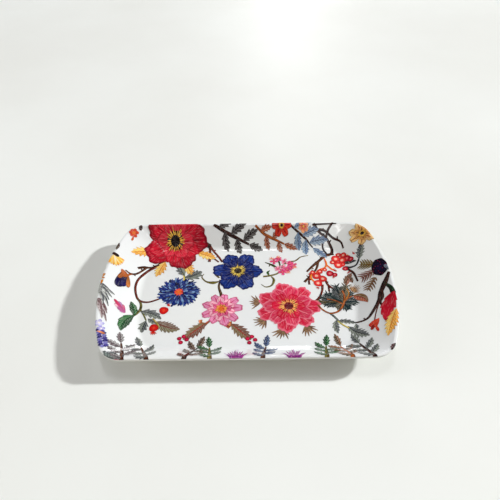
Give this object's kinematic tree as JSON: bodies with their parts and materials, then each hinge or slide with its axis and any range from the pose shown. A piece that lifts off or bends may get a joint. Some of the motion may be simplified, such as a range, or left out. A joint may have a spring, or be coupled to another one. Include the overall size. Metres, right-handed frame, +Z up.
{
  "type": "serving tray",
  "caption": "Small rectangular melamine serving tray with bowed ends, sloping walls, a thin white rim and an all-over floral print under clear glaze.",
  "frame": {"origin": "on the surface the tray rests on, under the middle of the tray", "axes": "+X along the long side, +Y towards the back long side, +Z up"},
  "size_m": [0.24, 0.145, 0.0185],
  "materials": {
    "melamine": "glossy moulded melamine, white",
    "printed_foil": "white foil with a colourful floral print, pressed into the melamine",
    "glaze": "clear glossy melamine glaze"
  },
  "bodies": {
    "root": {"tray_body": "melamine", "decor_foil": "printed_foil", "clear_glaze": "glaze"}
  },
  "joints": []
}
